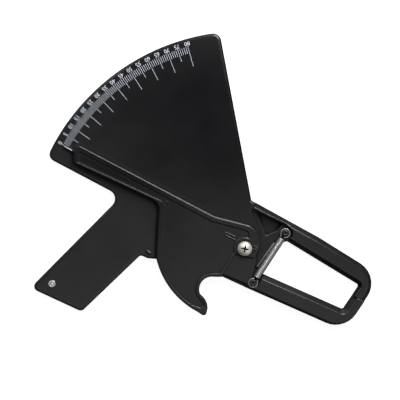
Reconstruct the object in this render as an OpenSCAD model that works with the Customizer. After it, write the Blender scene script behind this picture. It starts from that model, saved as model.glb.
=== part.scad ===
// Skinfold caliper: a flat fan-shaped dial frame with a grip and a fixed jaw, and a
// trigger lever with a pointer and a moving jaw that turns on one screw against a spring.
// Origin on the pivot axis at the back face, +Z out of the dial, +X along the closed jaws.

/* [Measuring] */
// Distance from the pivot to the middle of the jaw faces
jaw_reach = 105.5; // [98:0.5:112]
// Play left between the closed jaw faces
jaw_play = 0.1; // [0.05:0.05:0.3]
// Outer radius of the dial
dial_r = 184; // [178:1:192]
// Direction of the zero mark, seen from the pivot
zero_angle = 174; // [173:0.5:175]

/* [Frame] */
// Thickness of the frame plate
plate_t = 6; // [5.5:0.5:7]
// Rounding of the plate's front edges
plate_round = 2.2; // [1:0.1:2.4]
// Thickness of the plate's front skin over the hollow back
skin_t = 2.4; // [1.8:0.1:3]
// Thickness of the wall round the hollow back
wall_t = 2.4; // [1.6:0.1:2.5]
// Thickness of the ribs in the hollow back
rib_t = 1.6; // [1:0.1:2.4]
// Length of the grip along its left edge
grip_len = 109; // [100:1:118]
// Width of the grip at its end
grip_w = 47.8; // [44:0.2:52]
// Direction of the grip from the dial
grip_angle = 249.1; // [247:0.1:251]
// Radius of the frame's hub under the lever
hub_r = 17; // [15:0.5:18]

/* [Jaw arms] */
// Full height of both arms
arm_h = 10; // [9:0.1:11]
// Height of the arms' lower flange
flange_t = 4; // [3:0.1:5]
// Width of the fixed arm's flange beside its spine
flange_w = 2.4; // [1.5:0.1:3]
// Width of the round on the arms' upper sides
arm_round = 4.4; // [3:0.1:5]
// Width of the moving arm
arm_w = 16.4; // [15:0.1:17.4]
// Distance of the moving arm's outer edge from the pivot
arm_drop = 30; // [29.4:0.2:32]
// Width of the jaw tips
tip_w = 10.9; // [9.5:0.1:12]
// Lean of the jaw tips
tip_lean = 10.6; // [8:0.1:12]
// Outer radius of the bend at the jaw tips
bend_r = 19.8; // [16:0.1:21]
// Gap left under the moving arm
rear_gap = 0.4; // [0.3:0.1:1]

/* [Lever] */
// Thickness of the lever plate
lever_t = 5; // [4.5:0.1:6]
// Rounding of the lever's front edges
lever_round = 1.8; // [1:0.1:2.2]
// Depth of the sunk face inside the lever's rim
face_drop = 0.8; // [0.4:0.1:1.2]
// Width of the pointer bar at its end
bar_w = 16.8; // [14:0.1:19]
// Drop of the neck panel below the lever's rim
neck_drop = 1.2; // [0.5:0.1:1.8]
// Width of the needle at the pointer's end
needle_w = 2.6; // [2:0.1:4]

/* [Pivot] */
// Diameter of the screw's shank
screw_d = 6; // [5:0.1:6.6]
// Diameter of the screw's head
head_d = 12.2; // [11:0.1:13]
// Height of the screw's head
head_h = 3.8; // [3:0.1:5]
// Outside diameter of the bushing that the lever turns on
bushing_d = 8.4; // [7.8:0.1:9.4]
// Thickness of the thrust washer between frame and lever
thrust_t = 0.6; // [0.4:0.1:1]
// Thickness of the washer under the screw's head
head_washer_t = 0.8; // [0.5:0.1:1.2]
// Width across flats of the nut
nut_af = 10; // [9:0.1:11]
// Thickness of the nut
nut_t = 3; // [2.4:0.1:3.2]
// Radial running clearance on shank and bushing
run_fit = 0.06; // [0.03:0.01:0.1]

/* [Spring] */
// Wire diameter
wire_d = 1.05; // [0.8:0.05:1.1]
// Mean diameter of the curls
coil_d = 5; // [4.5:0.1:5.2]
// Mean diameter of the end loops
loop_d = 7.3; // [7.1:0.1:7.6]
// Number of curls
curls = 24; // [16:1:25]
// Diameter of the spring posts
post_d = 5.6; // [4.6:0.1:5.7]

/* [Grip eyelet] */
// Bore of the eyelet
eyelet_bore = 2.2; // [1.6:0.1:2.6]
// Outside diameter of the eyelet's barrel
eyelet_d = 4; // [3.6:0.1:4.4]
// Diameter of the eyelet's flange
eyelet_flange_d = 6; // [5.4:0.1:7]

/* [Hidden] */

$fn = 96;
over = 1;

// Small clearance between faces that seat on each other
seat = 0.05;

// Heights of the lever plate and of what stands on it
lever_z = plate_t + thrust_t;
lever_top = lever_z + lever_t;
head_washer_z = lever_top + 2 * seat;
head_z = head_washer_z + head_washer_t;

// Colours of the mouldings and the metal
black_abs = [0.14, 0.14, 0.15];
nickel = [0.78, 0.75, 0.70];
steel = [0.70, 0.71, 0.73];
acetal = [0.86, 0.85, 0.81];

// ---------------------------------------------------------------- plane geometry

function dir(a) = [cos(a), sin(a)];

function unit(v) = v / norm(v);

function arc(c, r, a0, a1, n) = [for (i = [0:n]) c + r * dir(a0 + (a1 - a0) * i / n)];

// The same arc as corners without rounding
function arc_path(c, r, a0, a1, n) = [for (p = arc(c, r, a0, a1, n)) [p[0], p[1], 0]];

// Angle b brought within half a turn of angle a
function near_angle(a, b) = b - 360 * round((b - a) / 360);

function xy(p) = [p[0], p[1]];

// Points of one corner p rounded with radius r between its neighbours a and b
function corner_points(a, p, b, r, n) =
    r == 0 ? [p] :
    let (
        u = unit(a - p),
        v = unit(b - p),
        half = acos(u * v) / 2,
        c = p + unit(u + v) * r / sin(half),
        s = p + u * r / tan(half) - c,
        e = p + v * r / tan(half) - c,
        a0 = atan2(s[1], s[0]),
        a1 = near_angle(a0, atan2(e[1], e[0]))
    )
    arc(c, r, a0, a1, n);

// Closed outline through corners given as [x, y, r]
function rounded(path, n = 6) = [
    for (i = [0:len(path) - 1])
        let (a = path[(i + len(path) - 1) % len(path)], b = path[(i + 1) % len(path)])
            each corner_points(xy(a), xy(path[i]), xy(b), path[i][2], n)
];

// Anticlockwise outline moved inward by d
function inset(pts, d) = [
    for (i = [0:len(pts) - 1])
        let (
            p = pts[i],
            e = unit(p - pts[(i + len(pts) - 1) % len(pts)]),
            f = unit(pts[(i + 1) % len(pts)] - p),
            n = [-e[1], e[0]],
            m = [-f[1], f[0]]
        )
            p + (n + m) / (1 + n * m) * d
];

function at_z(pts, z) = [for (p = pts) [p[0], p[1], z]];

// Centre of the circle of radius r inside two edges, each a point and its outward normal
function bend_center(p, a, q, b, r) =
    let (
        m = p * dir(a) - r,
        n = q * dir(b) - r,
        d = cos(a) * sin(b) - sin(a) * cos(b)
    )
    [(m * sin(b) - n * sin(a)) / d, (n * cos(a) - m * cos(b)) / d];

// ---------------------------------------------------------------- solids

// Solid through closed rings with equally many points, anticlockwise seen from the last.
// Each end is closed by strips between the two halves of its ring.
module loft(rings) {
    n = len(rings[0]);
    last = len(rings) - 1;
    polyhedron(
        points = [for (r = rings) each r],
        faces = [
            for (k = [0:n / 2 - 2]) [k, k + 1, n - 2 - k, n - 1 - k],
            for (k = [0:last - 1], i = [0:n - 1])
                let (j = (i + 1) % n) each [
                    [k * n + i, (k + 1) * n + i, (k + 1) * n + j],
                    [k * n + i, (k + 1) * n + j, k * n + j]
                ],
            for (k = [0:n / 2 - 2])
                let (e = last * n) [e + n - 1 - k, e + n - 2 - k, e + k + 1, e + k]
        ]
    );
}

// Band that runs round an outline: plain wall outside, quarter round of radius r on top
module edge_band(pts, z0, z1, r, steps) {
    lap = 0.6;
    section = concat(
        [[0, z0]],
        [for (k = [0:steps]) let (a = 90 * k / steps) [r * (1 - cos(a)), z1 - r + r * sin(a)]],
        [[r + lap, z1 - lap], [r + lap, z0 + lap], [r, z0]]
    );
    m = len(section);
    n = len(pts);
    polyhedron(
        points = [for (q = section) each at_z(inset(pts, q[0]), q[1])],
        faces = [
            for (k = [0:m - 1], i = [0:n - 1])
                let (j = (i + 1) % n, h = (k + 1) % m) each [
                    [k * n + i, h * n + i, h * n + j],
                    [k * n + i, h * n + j, k * n + j]
                ]
        ]
    );
}

// Flat plate inside a band that rounds its front edge
module round_plate(pts, z0, z1, r, steps = 3) {
    prism(inset(pts, r), z0, z1);
    edge_band(pts, z0, z1, r, steps);
}

// Straight-sided prism on an outline
module prism(pts, z0, z1) {
    translate([0, 0, z0]) linear_extrude(z1 - z0) polygon(pts);
}

module ring(od, id, z, h) {
    translate([0, 0, z]) difference() {
        cylinder(d = od, h = h);
        translate([0, 0, -over]) cylinder(d = id, h = h + 2 * over);
    }
}

// ---------------------------------------------------------------- jaw arms

// Half section of an arm from the edge inward: flange of width f, then a bevel of width m
// that ends in a small crest beside the level face
function arm_side(f, m, z0) = [
    [0, z0], [0, flange_t - 0.4], [f, flange_t], [f + 0.12 * m, arm_h - 0.72 * m],
    [f + 0.9 * m, arm_h - 0.05 * m], [f + m, arm_h]
];

// Section between an outer edge point o and an inner edge point i
function arm_ring(o, i, out, inn, z0, flip) =
    let (
        w = norm(i - o),
        u = (i - o) / w,
        a = arm_side(inn[0], inn[1], z0),
        b = arm_side(out[0], out[1], z0),
        section = concat([for (p = a) [w - p[0], p[1]]], [for (k = [5:-1:0]) b[k]]),
        last = len(section) - 1
    )
    [
        for (k = [0:last])
            let (q = section[flip ? last - k : k], p = o + u * q[0]) [p[0], p[1], q[1]]
    ];

// Values between a and b
function mix(a, b, t) = a + (b - a) * t;

// Half the width of a jaw tip measured along X
tip_half = tip_w / 2 / cos(tip_lean);
tip_normal = -tip_lean;
tip_outer = [jaw_reach + tip_half, 0];
tip_inner = [jaw_reach - tip_half, 0];
inner_bend_r = 2;
bend_steps = 7;

// Flange and round at the tips
tip_low = [0.4, 1.6];
upper_side = [0.05, arm_round];

// Fixed arm: outer and inner edge, each by a point and its outward normal
fixed_outer = [54, 33.9];
fixed_outer_normal = 81.9;
fixed_inner = [54, 16.9];
fixed_root_x = -7;
fixed_outer_root = [fixed_root_x, 39.25];
fixed_inner_root = [fixed_root_x, 24.9];
fixed_inner_normal = 82.5;
fixed_low = [flange_w, 1.4];
fixed_co = bend_center(fixed_outer, fixed_outer_normal, tip_outer, tip_normal, bend_r);
fixed_ci = bend_center(fixed_inner, fixed_inner_normal, tip_inner, tip_normal, inner_bend_r);

// Moving arm: its edges run along X below the pivot
moving_root_x = 13;
moving_outer = [moving_root_x, -arm_drop];
moving_inner = [moving_root_x, arm_w - arm_drop];
moving_low = [1.2, 1.6];
moving_co = bend_center(moving_outer, -90, tip_outer, tip_normal, bend_r);
moving_ci = bend_center(moving_inner, -90, tip_inner, tip_normal, inner_bend_r);

module fixed_arm() {
    difference() {
        loft([
            arm_ring(fixed_outer_root, fixed_inner_root, upper_side, fixed_low, 0, true),
            arm_ring(fixed_outer, fixed_inner, upper_side, fixed_low, 0, true),
            for (k = [0:bend_steps])
                let (t = k / bend_steps, a = mix(fixed_outer_normal, tip_normal, t))
                    arm_ring(
                        fixed_co + bend_r * dir(a), fixed_ci + inner_bend_r * dir(a),
                        upper_side, mix(fixed_low, tip_low, t), 0, true
                    ),
            arm_ring(tip_outer, tip_inner, upper_side, tip_low, 0, true)
        ]);
        for (k = [0:2]) translate([0, 0, -over]) linear_extrude(arm_core_z + over) fixed_core(k);
    }
}

module moving_arm() {
    shut = [tan(tip_lean) * -jaw_play, -jaw_play];
    difference() {
        loft([
            arm_ring(moving_outer, moving_inner, moving_low, upper_side, rear_gap, false),
            for (k = [0:bend_steps])
                let (t = k / bend_steps, a = mix(-90, tip_normal, t))
                    arm_ring(
                        moving_co + bend_r * dir(a), moving_ci + inner_bend_r * dir(a),
                        mix(moving_low, tip_low, t), upper_side, rear_gap, false
                    ),
            arm_ring(tip_outer + shut, tip_inner + shut, tip_low, upper_side, rear_gap, false)
        ]);
        for (k = [0:2]) translate([0, 0, -over])
            linear_extrude(arm_core_z + over) moving_core(k);
    }
}

// Cores that hollow the arms from the back, three to each arm with a web between them
arm_core_z = arm_h - 3.8;
core_start = 37;
tip_room = 17.3;
core_len = (jaw_reach - tip_room - core_start - 2 * rib_t) / 3;

module fixed_core(k) {
    x = core_start + k * (core_len + rib_t);
    slope = (fixed_inner[1] - fixed_inner_root[1]) / (fixed_inner[0] - fixed_root_x);
    y = fixed_inner[1] + slope * (x - fixed_inner[0]) + 4.2;
    polygon(rounded([
        [x, y, 1], [x + core_len, y + slope * core_len, 1],
        [x + core_len, y + slope * core_len + 7.4, 1], [x, y + 7.4, 1]
    ], 3));
}

module moving_core(k) {
    x = core_start - 4 + k * (core_len + rib_t);
    polygon(rounded([
        [x, -arm_drop + 3.6, 1], [x + core_len, -arm_drop + 3.6, 1],
        [x + core_len, -arm_drop + arm_w - 4.2, 1], [x, -arm_drop + arm_w - 4.2, 1]
    ], 3));
}

// ---------------------------------------------------------------- frame

// Corners of the grip, from the dial's lower edge round its end to the finger space
grip_root = [-113.4, -2.1];
grip_end = grip_root + grip_len * dir(grip_angle);
grip_toe = grip_end + [grip_w, -0.9];
grip_throat = [-78.1, -40.9];
grip_shoulder = [-64.3, -38.4];

// Dial corners: lower left on the arc, and the top where the right edge starts
dial_low = dial_r * dir(179.1);
dial_top = dial_r * dir(120.3);
arm_corner = [-10.9, 39.6];

// Ends of the frame's edge beside the spring
throat_low = [18.3, -11.3];
throat_high = [22.6, 15.1];

frame_outline = rounded(concat(
    [
        [dial_low[0], dial_low[1], 6.5],
        [grip_root[0], grip_root[1], 7.5],
        [grip_end[0], grip_end[1], 4.5],
        [grip_toe[0], grip_toe[1], 4.5],
        [grip_throat[0], grip_throat[1], 3],
        [grip_throat[0] + 6.6, grip_throat[1], 3],
        [grip_shoulder[0], grip_shoulder[1], 8],
        [-34, -22.5, 12]
    ],
    arc_path([0, 0], hub_r, -118, -46, 6),
    [
        [throat_low[0], throat_low[1], 0],
        [throat_high[0], throat_high[1], 0],
        [29, 18.6, 0],
        [36, 24, 0],
        [30, 33, 0],
        [arm_corner[0], arm_corner[1], 0],
        [dial_top[0], dial_top[1], 7]
    ],
    arc_path([0, 0], dial_r, 124, 175.4, 22)
));

// Posts on which the spring's loops hang, and the level of the spring's axis
fixed_post = [26.2, 25.7];
moving_post = [18.2, -23.6];
spring_z = plate_t + 0.4 + (coil_d + wire_d) / 2;
post_top = spring_z + wire_d / 2 + 0.6;

// Level floor round the fixed post, and the deep pocket beside it
fixed_recess = rounded([
    [-16, 34.1, 0], [-16, 12, 0], [29.6, 12, 0], [29.6, 20, 2], [32.8, 25.5, 2],
    [30.8, 30.6, 3], [24.5, 32.6, 3]
], 4);
deep_pocket = rounded([[-3.4, 33, 1], [12.5, 17.4, 1.2], [19.4, 24.6, 2], [21.4, 32, 1]], 3);
deep_floor = 2.5;

// Low bead along the pocket's left edge, in line with the dial's right edge
pocket_bead = [[-9.6, 34.6], [-6.8, 34.7], [11.6, 16.6], [9.9, 15.2]];

// Round room for the spring's loop about a post
loop_air = 0.4;
module loop_room(at, low, high) {
    translate([at[0], at[1], low]) cylinder(r = (loop_d + wire_d) / 2 + loop_air, h = high - low);
}

module spring_post(at, base_z) {
    difference() {
        translate([at[0], at[1], base_z]) cylinder(d = post_d, h = post_top - base_z);
        translate([at[0], at[1], post_top - 0.9]) cylinder(d = 1.6, h = over + 0.9);
    }
}

// Eyelet near the grip's end
eyelet_at = grip_end + [15.5, 10.8];
eyelet_recess = 1.2;
eyelet_boss_d = 12;

// Straight rib of the hollow back from a to b
module rib(a, b, z0, z1) {
    d = b - a;
    translate([a[0], a[1], z0]) rotate([0, 0, atan2(d[1], d[0])])
        translate([0, -rib_t / 2, 0]) cube([norm(d), rib_t, z1 - z0]);
}

// Rib along an arc round the pivot
module arc_rib(r, a0, a1, z0, z1) {
    prism(
        concat(arc([0, 0], r + rib_t / 2, a0, a1, 12), arc([0, 0], r - rib_t / 2, a1, a0, 12)),
        z0, z1
    );
}

// Full ground under the arm's root, the pockets and the throat
root_block = [
    [-12, -10.5], [0, -14.6], [10, -11.6], [15.4, -9.4], [19.6, 16.2], [30, 20.5], [35, 24.5],
    [30, 31.5], [-9.5, 37.6], [-12, 38.4]
];

// Ribs and bosses that stiffen the hollow back, ending inside the wall
module frame_ribs() {
    high = plate_t - 0.5 * skin_t;
    cylinder(r = hub_r - 0.4, h = high);
    prism(root_block, 0, high);
    translate([eyelet_at[0], eyelet_at[1], 0]) cylinder(d = eyelet_boss_d, h = high);
    for (a = [129, 140, 151, 162, 173]) rib(10 * dir(a), (dial_r - 1.2) * dir(a), 0, high);
    arc_rib(70, 123, 176, 0, high);
    arc_rib(125, 121.6, 179, 0, high);
    rib([-113, -3.4], [-16, -9], 0, high);
    for (k = [0:3])
        rib(
            mix(grip_root, grip_end, 0.147 + 0.211 * k) + [1.2, 0],
            mix(grip_toe, grip_throat, 0.957 - 0.262 * k) - [1.2, 0], 0, high
        );
    rib(mix(grip_root, grip_end, 0.147) + [20, 0], grip_end + [24, 0.4], 0, high);
}

module frame() {
    color(black_abs) {
        difference() {
            union() {
                difference() {
                    union() {
                        round_plate(frame_outline, 0, plate_t, plate_round);
                        fixed_arm();
                    }
                    prism(inset(frame_outline, wall_t), -over, plate_t - skin_t);
                }
                frame_ribs();
            }
            prism(fixed_recess, plate_t, arm_h + over);
            prism(deep_pocket, deep_floor, arm_h + over);
            translate([0, 0, -over]) cylinder(d = screw_d + 2 * run_fit, h = plate_t + 2 * over);
            translate([0, 0, -over])
                cylinder(d = (nut_af + 0.2) / cos(30), h = nut_t + 3 * seat + over, $fn = 6);
            translate([eyelet_at[0], eyelet_at[1], -over])
                cylinder(d = eyelet_d + 2 * seat, h = plate_t + 2 * over);
            translate([eyelet_at[0], eyelet_at[1], -over])
                cylinder(d = eyelet_flange_d + 1, h = eyelet_recess + over);
        }
        spring_post(fixed_post, plate_t - over);
        prism(pocket_bead, plate_t - over, plate_t + 0.3);
        translate([grip_throat[0] + 5.4, grip_throat[1] + 5.1, plate_t - over])
            rotate([0, 0, -6]) prism([[-2.1, -1], [2.1, -1], [2.1, 1], [-2.1, 1]], 0, over + 0.8);
    }
}

// ---------------------------------------------------------------- lever

// Pointer bar: its end on the scale, its slightly pointed nose and the needle
bar_end_r = dial_r - 18;
bar_upper = (bar_end_r - 0.8) * dir(zero_angle - 2.3);
bar_lower = bar_upper + bar_w * dir(-80.9);
bar_nose = (bar_end_r + 0.2) * dir(zero_angle + 0.3);
needle_tip = (dial_r - 10) * dir(zero_angle + 0.2);

// Round back of the trigger, finger hollow and beak
back_c = [-10, 3.5];
back_r = 68.4;
hook_c = [-11.2, -42.6];
hook_r = 10.8;
beak_c = [-20.5, -63.9];
beak_r = 13.5;
trigger_corner = [-81.5, 5.8];

lever_outline = rounded(concat(
    [
        [bar_lower[0], bar_lower[1], 2.6],
        [trigger_corner[0], trigger_corner[1], 8],
        [-76.6, -8.2, 60]
    ],
    arc_path(back_c, back_r, 216, 266, 14),
    [[-6.6, -66.2, 2.6]],
    arc_path(beak_c, beak_r, 24, 66, 4),
    arc_path(hook_c, hook_r, 225, 105, 10),
    [
        [-7.9, -29.6, 0],
        [-5.3, -8, 0],
        [11.5, -5, 3],
        [11, 8.5, 9],
        [4.5, 17.5, 9],
        [-3.6, 19.9, 8],
        [-34.4, 15, 20],
        [bar_upper[0], bar_upper[1], 2.6],
        [bar_nose[0], bar_nose[1], 0]
    ]
));

// Face sunk inside the rim: wide rim above, narrower rims below and round the trigger
rim_low = 2.7;
rim_side = 3.4;
rim_top = 5;
boss_r = 9.4;
face_outline = rounded(concat(
    [
        [bar_lower[0] + 3, bar_lower[1] + rim_low, 1],
        [trigger_corner[0] + rim_side, trigger_corner[1] + rim_low, 5.5],
        [-76.6 + rim_side, -7.4, 60]
    ],
    arc_path(back_c, back_r - rim_low, 217, 260, 10),
    [[-13.6, -60.4, 2]],
    arc_path(beak_c, beak_r - rim_low, 34, 62, 3),
    arc_path(hook_c, hook_r + rim_low, 222, 116, 8),
    [[-10.8, -27.6, 1], [-8.2, -11, 0]],
    arc_path([0, 0], boss_r, 224, 88, 10),
    [
        [-3.2, 14.9, 3],
        [-34.6, 15 - rim_top, 20],
        [bar_upper[0] + 3, bar_upper[1] - rim_top, 1]
    ]
));

// Neck panel between hub and moving arm, and the web below it that carries the arm
neck_outline = rounded([
    [-9.5, -5, 0], [-9.2, -27.4, 0], [16.6, -26.7, 0], [14.9, -15.4, 0], [12, -2, 0], [6, 4, 0]
]);
neck_foot = [[-8.6, -29.3], [13.8, -29.6], [13.8, -26], [-8.6, -26]];
neck_web = [[6.5, -26.4], [13.6, -28.4], [14, -15.6], [10.6, -15.8], [6.5, -18.2]];

// Level floor round the moving post
moving_recess = rounded([
    [14.9, -12, 0], [14.9, -27.2, 0], [16, -28.4, 0], [20, -28.4, 3], [23.2, -25, 2],
    [23.2, -19.6, 1], [24.4, -12, 0]
], 4);

// Full ground round the lever's bore
lever_ground = [
    [-8.8, -28], [-6.4, -8.6], [10.4, -4], [10, 8.2], [4, 16.4], [-3.8, 18.7], [-16, 16.8],
    [-20, 0], [-17, -20]
];

// Height at x on the straight line through a and b
function line_y(a, b, x) = a[1] + (b[1] - a[1]) * (x - a[0]) / (b[0] - a[0]);

module lever_ribs() {
    high = lever_top - face_drop - 1;
    low_edge = lever_z;
    mid_end = (bar_upper + bar_lower) / 2;
    prism(lever_ground, low_edge, high);
    rib([-12, 9], mid_end + [1.2, 0], low_edge, high);
    for (x = [-145, -120, -95])
        rib(
            [x, line_y(bar_lower, trigger_corner, x) + 1.2],
            [x, line_y(bar_upper, [-34.4, 15], x) - 1.2], low_edge, high
        );
    rib(hub_r * dir(207), (back_r + 4.6) * dir(207), low_edge, high);
    rib(hub_r * dir(228), (back_r + 2) * dir(228), low_edge, high);
    arc_rib(back_r - 16.4, 165.5, 236, low_edge, high);
}

// Short grooved ribs beside the screw
module face_rib(a, b, top) {
    d = b - a;
    translate([a[0], a[1], lever_top - face_drop - over]) rotate([0, 0, atan2(d[1], d[0])])
        translate([0, -0.45, 0]) cube([norm(d), 0.9, top - lever_top + face_drop + over]);
}

module lever() {
    color(black_abs) difference() {
        union() {
            difference() {
                round_plate(lever_outline, lever_z, lever_top, lever_round);
                prism(face_outline, lever_top - face_drop, lever_top + over);
                prism(
                    inset(lever_outline, 2.4), lever_z - over, lever_top - face_drop - 1.9
                );
            }
            lever_ribs();
            difference() {
                round_plate(neck_outline, lever_z, lever_top - neck_drop, 1, 2);
                translate([15.2, -arm_drop, lever_z - over]) cube([4, 20, lever_t]);
                loop_room(moving_post, lever_z - 2 * over, lever_top);
            }
            prism(neck_foot, lever_z, lever_z + 1.6);
            prism(neck_web, rear_gap, lever_z + over);
            difference() {
                moving_arm();
                prism(moving_recess, plate_t, arm_h + 2 * over);
                loop_room(moving_post, plate_t, lever_top);
            }
            spring_post(moving_post, plate_t - over);
            needle();
            translate([-75.7, 7.5, 0])
                ring(4.6, 3.4, lever_top - face_drop - over, over + 0.25);
            face_rib([-20, 6.2], [-11, 5.8], lever_top - face_drop + 0.5);
            face_rib([-19.5, 3.8], [-10, 3.4], lever_top - face_drop + 0.5);
            face_rib([5.6, 5.3], [9.6, 5.1], lever_top + 0.4);
            face_rib([6.8, 2.8], [9.8, 2.6], lever_top + 0.4);
        }
        translate([0, 0, -over]) cylinder(d = bushing_d + 2 * run_fit, h = lever_top + 2 * over);
    }
}

// Thin needle with a round end, sunk into the bar's nose
module needle() {
    a = atan2(needle_tip[1], needle_tip[0]);
    rotate([0, 0, a]) translate([bar_end_r - 4, 0, lever_z]) {
        translate([0, -needle_w / 2, 0]) cube([norm(needle_tip) - bar_end_r + 4, needle_w, 1.6]);
        translate([norm(needle_tip) - bar_end_r + 4, 0, 0]) cylinder(d = needle_w, h = 1.6);
    }
}

// ---------------------------------------------------------------- pivot hardware

// Cross recess cut into a screw head whose top lies at z = 0
module cross_recess() {
    for (a = [0, 90])
        rotate([0, 0, a]) rotate([90, 0, 0]) translate([0, 0, -0.6]) linear_extrude(1.2)
            polygon([[-2.9, 0.5], [-2.9, -0.7], [-1.1, -2.3], [1.1, -2.3], [2.9, -0.7], [2.9, 0.5]]);
}

module pivot_screw() {
    dome_r = (pow(head_d / 2, 2) + pow(head_h - 0.8, 2)) / 2 / (head_h - 0.8);
    color(nickel) difference() {
        union() {
            translate([0, 0, seat]) cylinder(d = screw_d, h = head_z + 1 - seat);
            translate([0, 0, head_z]) cylinder(d = head_d, h = 0.8);
            intersection() {
                translate([0, 0, head_z + 0.7]) cylinder(d = head_d, h = head_h);
                translate([0, 0, head_z + head_h - dome_r]) sphere(r = dome_r);
            }
        }
        translate([0, 0, head_z + head_h]) rotate([0, 0, 12]) cross_recess();
        translate([0, 0, -over]) cylinder(d1 = screw_d - 2.4, d2 = 0.6, h = 2.4 + over);
    }
}

module head_washer() {
    color(steel) ring(head_d - 0.4, screw_d + 2 * run_fit, head_washer_z, head_washer_t);
}

module pivot_bushing() {
    color(steel) ring(bushing_d, screw_d + 2 * run_fit, plate_t, head_washer_z - plate_t);
}

module thrust_washer() {
    color(acetal) ring(20, bushing_d + 2 * run_fit, plate_t, thrust_t - seat);
}

module pivot_nut() {
    color(steel) difference() {
        translate([0, 0, 2 * seat]) intersection() {
            cylinder(d = nut_af / cos(30), h = nut_t, $fn = 6);
            translate([0, 0, -0.6]) cylinder(d1 = nut_af - 0.2, d2 = nut_af + 7, h = nut_t + 1.2);
        }
        translate([0, 0, -over]) cylinder(d = screw_d + 2 * run_fit, h = nut_t + 3 * over);
    }
}

// ---------------------------------------------------------------- spring

coil_r = coil_d / 2;
loop_r = loop_d / 2;
spring_axis = moving_post - fixed_post;
spring_half = norm(spring_axis) / 2;
body_half = spring_half - loop_r - 1.9;
pitch = 2 * body_half / curls;
rings_per_curl = 8;
tube_sides = 6;

function bezier(a, b, c, d, t) =
    a * pow(1 - t, 3) + 3 * b * t * pow(1 - t, 2) + 3 * c * t * t * (1 - t) + d * pow(t, 3);

// Centre line of the body along u, starting and ending below the axis
body_path = [
    for (k = [0:curls * rings_per_curl])
        let (t = k / (curls * rings_per_curl), a = -90 + 360 * k / rings_per_curl)
            [mix(-body_half, body_half, t), coil_r * cos(a), coil_r * sin(a)]
];

// Half loop-end: from the body's last point over to the loop and round the post
loop_start = 130;
loop_turn = 280;
loop_steps = 14;
hand = 2.4;
lead_a = [body_half, 0, -coil_r];
lead_d = [spring_half + loop_r * cos(loop_start), loop_r * sin(loop_start), 0];
lead_b = lead_a + hand * unit([pitch, PI * coil_d, 0]);
lead_c = lead_d - hand * [sin(loop_start), -cos(loop_start), 0];
loop_end_angle = loop_start - loop_turn;
end_path = concat(
    [for (k = [1:5]) bezier(lead_a, lead_b, lead_c, lead_d, k / 5)],
    [
        for (k = [1:loop_steps])
            let (a = loop_start - loop_turn * k / loop_steps)
                [spring_half + loop_r * cos(a), loop_r * sin(a), 0]
    ],
    [[
        spring_half + loop_r * cos(loop_end_angle) + wire_d * sin(loop_end_angle),
        loop_r * sin(loop_end_angle) - wire_d * cos(loop_end_angle),
        0
    ]]
);

// The other end is the same turned half round about the vertical
start_path = [for (k = [len(end_path) - 1:-1:0]) let (p = end_path[k]) [-p[0], -p[1], p[2]]];
wire_path = concat(start_path, body_path, end_path);
path_last = len(wire_path) - 1;

function tangent(k) = unit(wire_path[min(k + 1, path_last)] - wire_path[max(k - 1, 0)]);

// Direction across the wire that turns with the curls and points down on the loops
function across(k) =
    let (
        j = k - len(start_path),
        inside = j >= 0 && j < len(body_path),
        p = wire_path[k],
        side = inside ? unit([0, p[1], p[2]]) : [0, 0, -1],
        t = tangent(k)
    )
    unit(side - (side * t) * t);

function tube_ring(k) =
    let (a = across(k), b = cross(tangent(k), a))
    [
        for (s = [0:tube_sides - 1])
            let (w = 360 * s / tube_sides)
                wire_path[k] + wire_d / 2 * (cos(w) * a + sin(w) * b)
    ];

// Least distance between parts of the wire more than half a curl apart, less its thickness
self_gap = min([
    for (i = [0:path_last], j = [i + 5:1:path_last]) norm(wire_path[i] - wire_path[j])
]) - wire_d;

module tube() {
    n = tube_sides;
    polyhedron(
        points = [for (k = [0:path_last]) each tube_ring(k)],
        faces = [
            for (s = [1:n - 2]) [0, s + 1, s],
            for (k = [0:path_last - 1], s = [0:n - 1])
                let (j = (s + 1) % n) each [
                    [k * n + s, k * n + j, (k + 1) * n + j],
                    [k * n + s, (k + 1) * n + j, (k + 1) * n + s]
                ],
            for (s = [1:n - 2]) [path_last * n, path_last * n + s, path_last * n + s + 1]
        ]
    );
}

module tension_spring() {
    echo(str("spring: least gap of the wire to itself ", self_gap, " mm"));
    mid = (fixed_post + moving_post) / 2;
    color(steel) translate([mid[0], mid[1], spring_z])
        rotate([0, 0, atan2(spring_axis[1], spring_axis[0])]) tube();
}

// ---------------------------------------------------------------- grip eyelet

module grip_eyelet() {
    r0 = eyelet_bore / 2;
    r1 = eyelet_d / 2;
    r2 = eyelet_flange_d / 2;
    front = plate_t + seat;
    color(nickel) translate([eyelet_at[0], eyelet_at[1], 0]) rotate_extrude() polygon([
        [r0, 0.5], [r0 + 0.3, 0.15], [r1 + 0.3, 0.05], [r1 + 0.8, 0.25], [r1 + 0.8, 0.5], [r1, 0.6],
        [r1, front], [r2, front], [r2, front + 0.3], [r2 - 0.4, front + 0.6],
        [r0 + 0.5, front + 0.6], [r0, front + 0.1]
    ]);
}

module eyelet_washer() {
    color(steel) translate([eyelet_at[0], eyelet_at[1], 0])
        ring(eyelet_flange_d + 0.6, eyelet_d + 2 * seat, 0.6 + seat, eyelet_recess - 0.6 - 2 * seat);
}

frame();
lever();
pivot_screw();
head_washer();
pivot_bushing();
thrust_washer();
pivot_nut();
tension_spring();
grip_eyelet();
eyelet_washer();
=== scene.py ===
"""Finishes, printed scale and wound spring of a moulded skinfold caliper, with its studio."""

import math

import bmesh
import bpy
from bpy.props import FloatProperty, FloatVectorProperty, IntProperty, PointerProperty
from bpy.types import Operator, Panel, PropertyGroup
from mathutils import Matrix, Vector


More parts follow.
